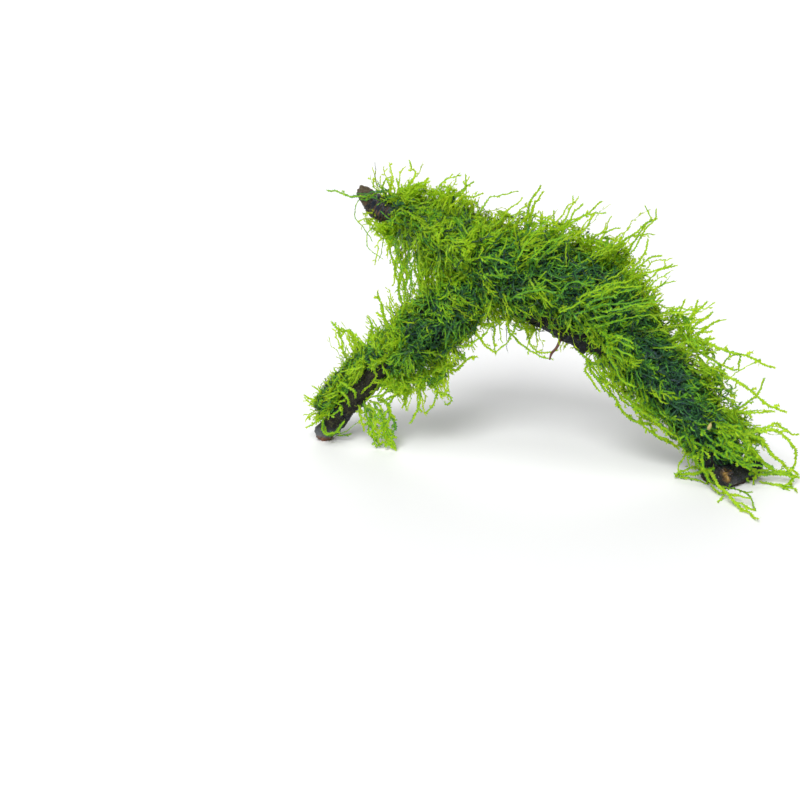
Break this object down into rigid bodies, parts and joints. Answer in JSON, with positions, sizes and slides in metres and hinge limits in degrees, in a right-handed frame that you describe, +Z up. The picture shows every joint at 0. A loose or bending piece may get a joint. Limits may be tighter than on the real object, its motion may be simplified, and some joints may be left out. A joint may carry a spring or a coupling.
{
  "type": "moss tree on driftwood",
  "caption": "Forked, bowed driftwood arch that stands on its own feet, sleeved in trailing aquarium moss tied on with dark thread, its cut stub and feet left bare.",
  "frame": {"origin": "on the floor, in the middle of what the whole object covers", "axes": "+X along the arch towards the foot with the cut face, +Y away from the side that the picture shows, +Z up"},
  "size_m": [0.3215, 0.1149, 0.1903],
  "materials": {
    "bark": "wet, near-black bark with reddish-brown patches",
    "thread": "thin dark tying thread, wet",
    "moss": "wet living moss, bright yellow-green at its tips and dark green inside"
  },
  "bodies": {
    "root": {"driftwood_trunk": "bark", "driftwood_stub": "bark", "driftwood_left_leg": "bark", "driftwood_foot_spur": "bark", "binding_thread_stub": "thread", "binding_thread_leg": "thread", "moss_crest": "moss", "moss_right_leg": "moss", "moss_stub": "moss", "moss_left_leg": "moss", "moss_hanging_tuft": "moss", "moss_foot_spray": "moss"}
  },
  "joints": []
}
